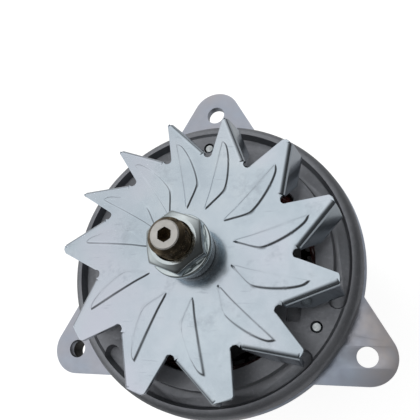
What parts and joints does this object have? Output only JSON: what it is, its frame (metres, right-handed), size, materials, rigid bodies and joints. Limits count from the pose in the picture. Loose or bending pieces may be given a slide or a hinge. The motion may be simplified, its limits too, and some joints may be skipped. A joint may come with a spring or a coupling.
{
  "type": "generator alternator head",
  "caption": "Alternator head: toothed sheet-metal cooling fan and nut on a threaded shaft, dark front shield with a rounded rim, and a flange plate with mounting lugs over a wound stator.",
  "frame": {"origin": "centre of the rear housing's flat face, on the shaft's axis", "axes": "+Z along the shaft towards the fan and nut, +Y towards the single lug of the flange plate, +X towards the brush holder"},
  "size_m": [0.1704, 0.1697, 0.1422],
  "materials": {
    "zinc_plate": "satin zinc plating",
    "zinc": "bright zinc plating",
    "dark_cast": "dark grey painted casting",
    "cast_aluminium": "as cast",
    "steel": "ground steel",
    "dark_steel": "dark oiled steel",
    "laminations": "varnished iron",
    "enamelled_wire": "enamelled copper wire",
    "copper": "copper",
    "brass": "brass",
    "black_plastic": "moulded",
    "carbon": "pressed carbon"
  },
  "bodies": {
    "housing": {"rear_housing": "cast_aluminium", "rectifier_plate_negative": "cast_aluminium", "rectifier_plate_positive": "cast_aluminium", "rectifier_spacer_1": "black_plastic", "rectifier_spacer_2": "black_plastic", "rectifier_spacer_3": "black_plastic", "rectifier_screw_1": "zinc", "rectifier_screw_2": "zinc", "rectifier_screw_3": "zinc", "terminal_stud": "brass", "terminal_insulator": "black_plastic", "terminal_nut": "brass", "brush_holder": "black_plastic", "holder_screw_1": "zinc", "holder_screw_2": "zinc", "brush_spring_1": "steel", "brush_spring_2": "steel", "regulator": "black_plastic", "regulator_screw": "zinc", "stator_core": "laminations", "stator_winding": "enamelled_wire", "front_housing": "dark_cast", "flange_plate": "zinc_plate", "lug_bush": "dark_steel", "flange_bolt_1": "zinc", "flange_bolt_2": "zinc", "flange_bolt_3": "zinc", "through_bolt_1": "zinc", "through_bolt_2": "zinc", "through_bolt_3": "zinc", "bearing_retainer": "dark_steel", "retainer_screw_1": "zinc", "retainer_screw_2": "zinc", "retainer_screw_3": "zinc", "front_bearing_outer_ring": "steel", "rear_bearing_outer_ring": "steel"},
    "rotor": {"shaft": "dark_steel", "shaft_key": "steel", "claw_pole_front": "laminations", "claw_pole_rear": "laminations", "rotor_core": "laminations", "field_bobbin": "black_plastic", "field_coil": "copper", "slip_ring_hub": "black_plastic", "slip_ring_1": "copper", "slip_ring_2": "copper", "front_bearing_inner_ring": "steel", "rear_bearing_inner_ring": "steel", "fan_spacer": "steel", "fan": "zinc_plate", "sleeve": "dark_steel", "washer": "zinc", "shaft_nut": "zinc"},
    "front_cage": {"front_bearing_cage": "brass"},
    "rear_cage": {"rear_bearing_cage": "brass"},
    "brush_a": {"brush_1": "carbon"},
    "brush_b": {"brush_2": "carbon"}
  },
  "joints": [
    {"name": "rotor_spin", "type": "hinge", "parent": "housing", "child": "rotor", "pos_m": [0, 0, 0.06], "axis": [0, 0, 1], "continuous": true},
    {"name": "front_cage_spin", "type": "hinge", "parent": "housing", "child": "front_cage", "pos_m": [0, 0, 0.0908], "axis": [0, 0, 1], "continuous": true},
    {"name": "rear_cage_spin", "type": "hinge", "parent": "housing", "child": "rear_cage", "pos_m": [0, 0, 0.0083], "axis": [0, 0, 1], "continuous": true},
    {"name": "brush_slide_1", "type": "slide", "parent": "housing", "child": "brush_a", "axis": [1, 0, 0], "range_m": [0, 0.003], "stiffness_N_per_m": 100, "springref_m": -0.004, "deforming": ["brush_spring_1"]},
    {"name": "brush_slide_2", "type": "slide", "parent": "housing", "child": "brush_b", "axis": [1, 0, 0], "range_m": [0, 0.003], "stiffness_N_per_m": 100, "springref_m": -0.004, "deforming": ["brush_spring_2"]}
  ],
  "couplings": [
    {"joint": "front_cage_spin", "follows": "rotor_spin", "ratio": 0.368},
    {"joint": "rear_cage_spin", "follows": "rotor_spin", "ratio": 0.374}
  ]
}
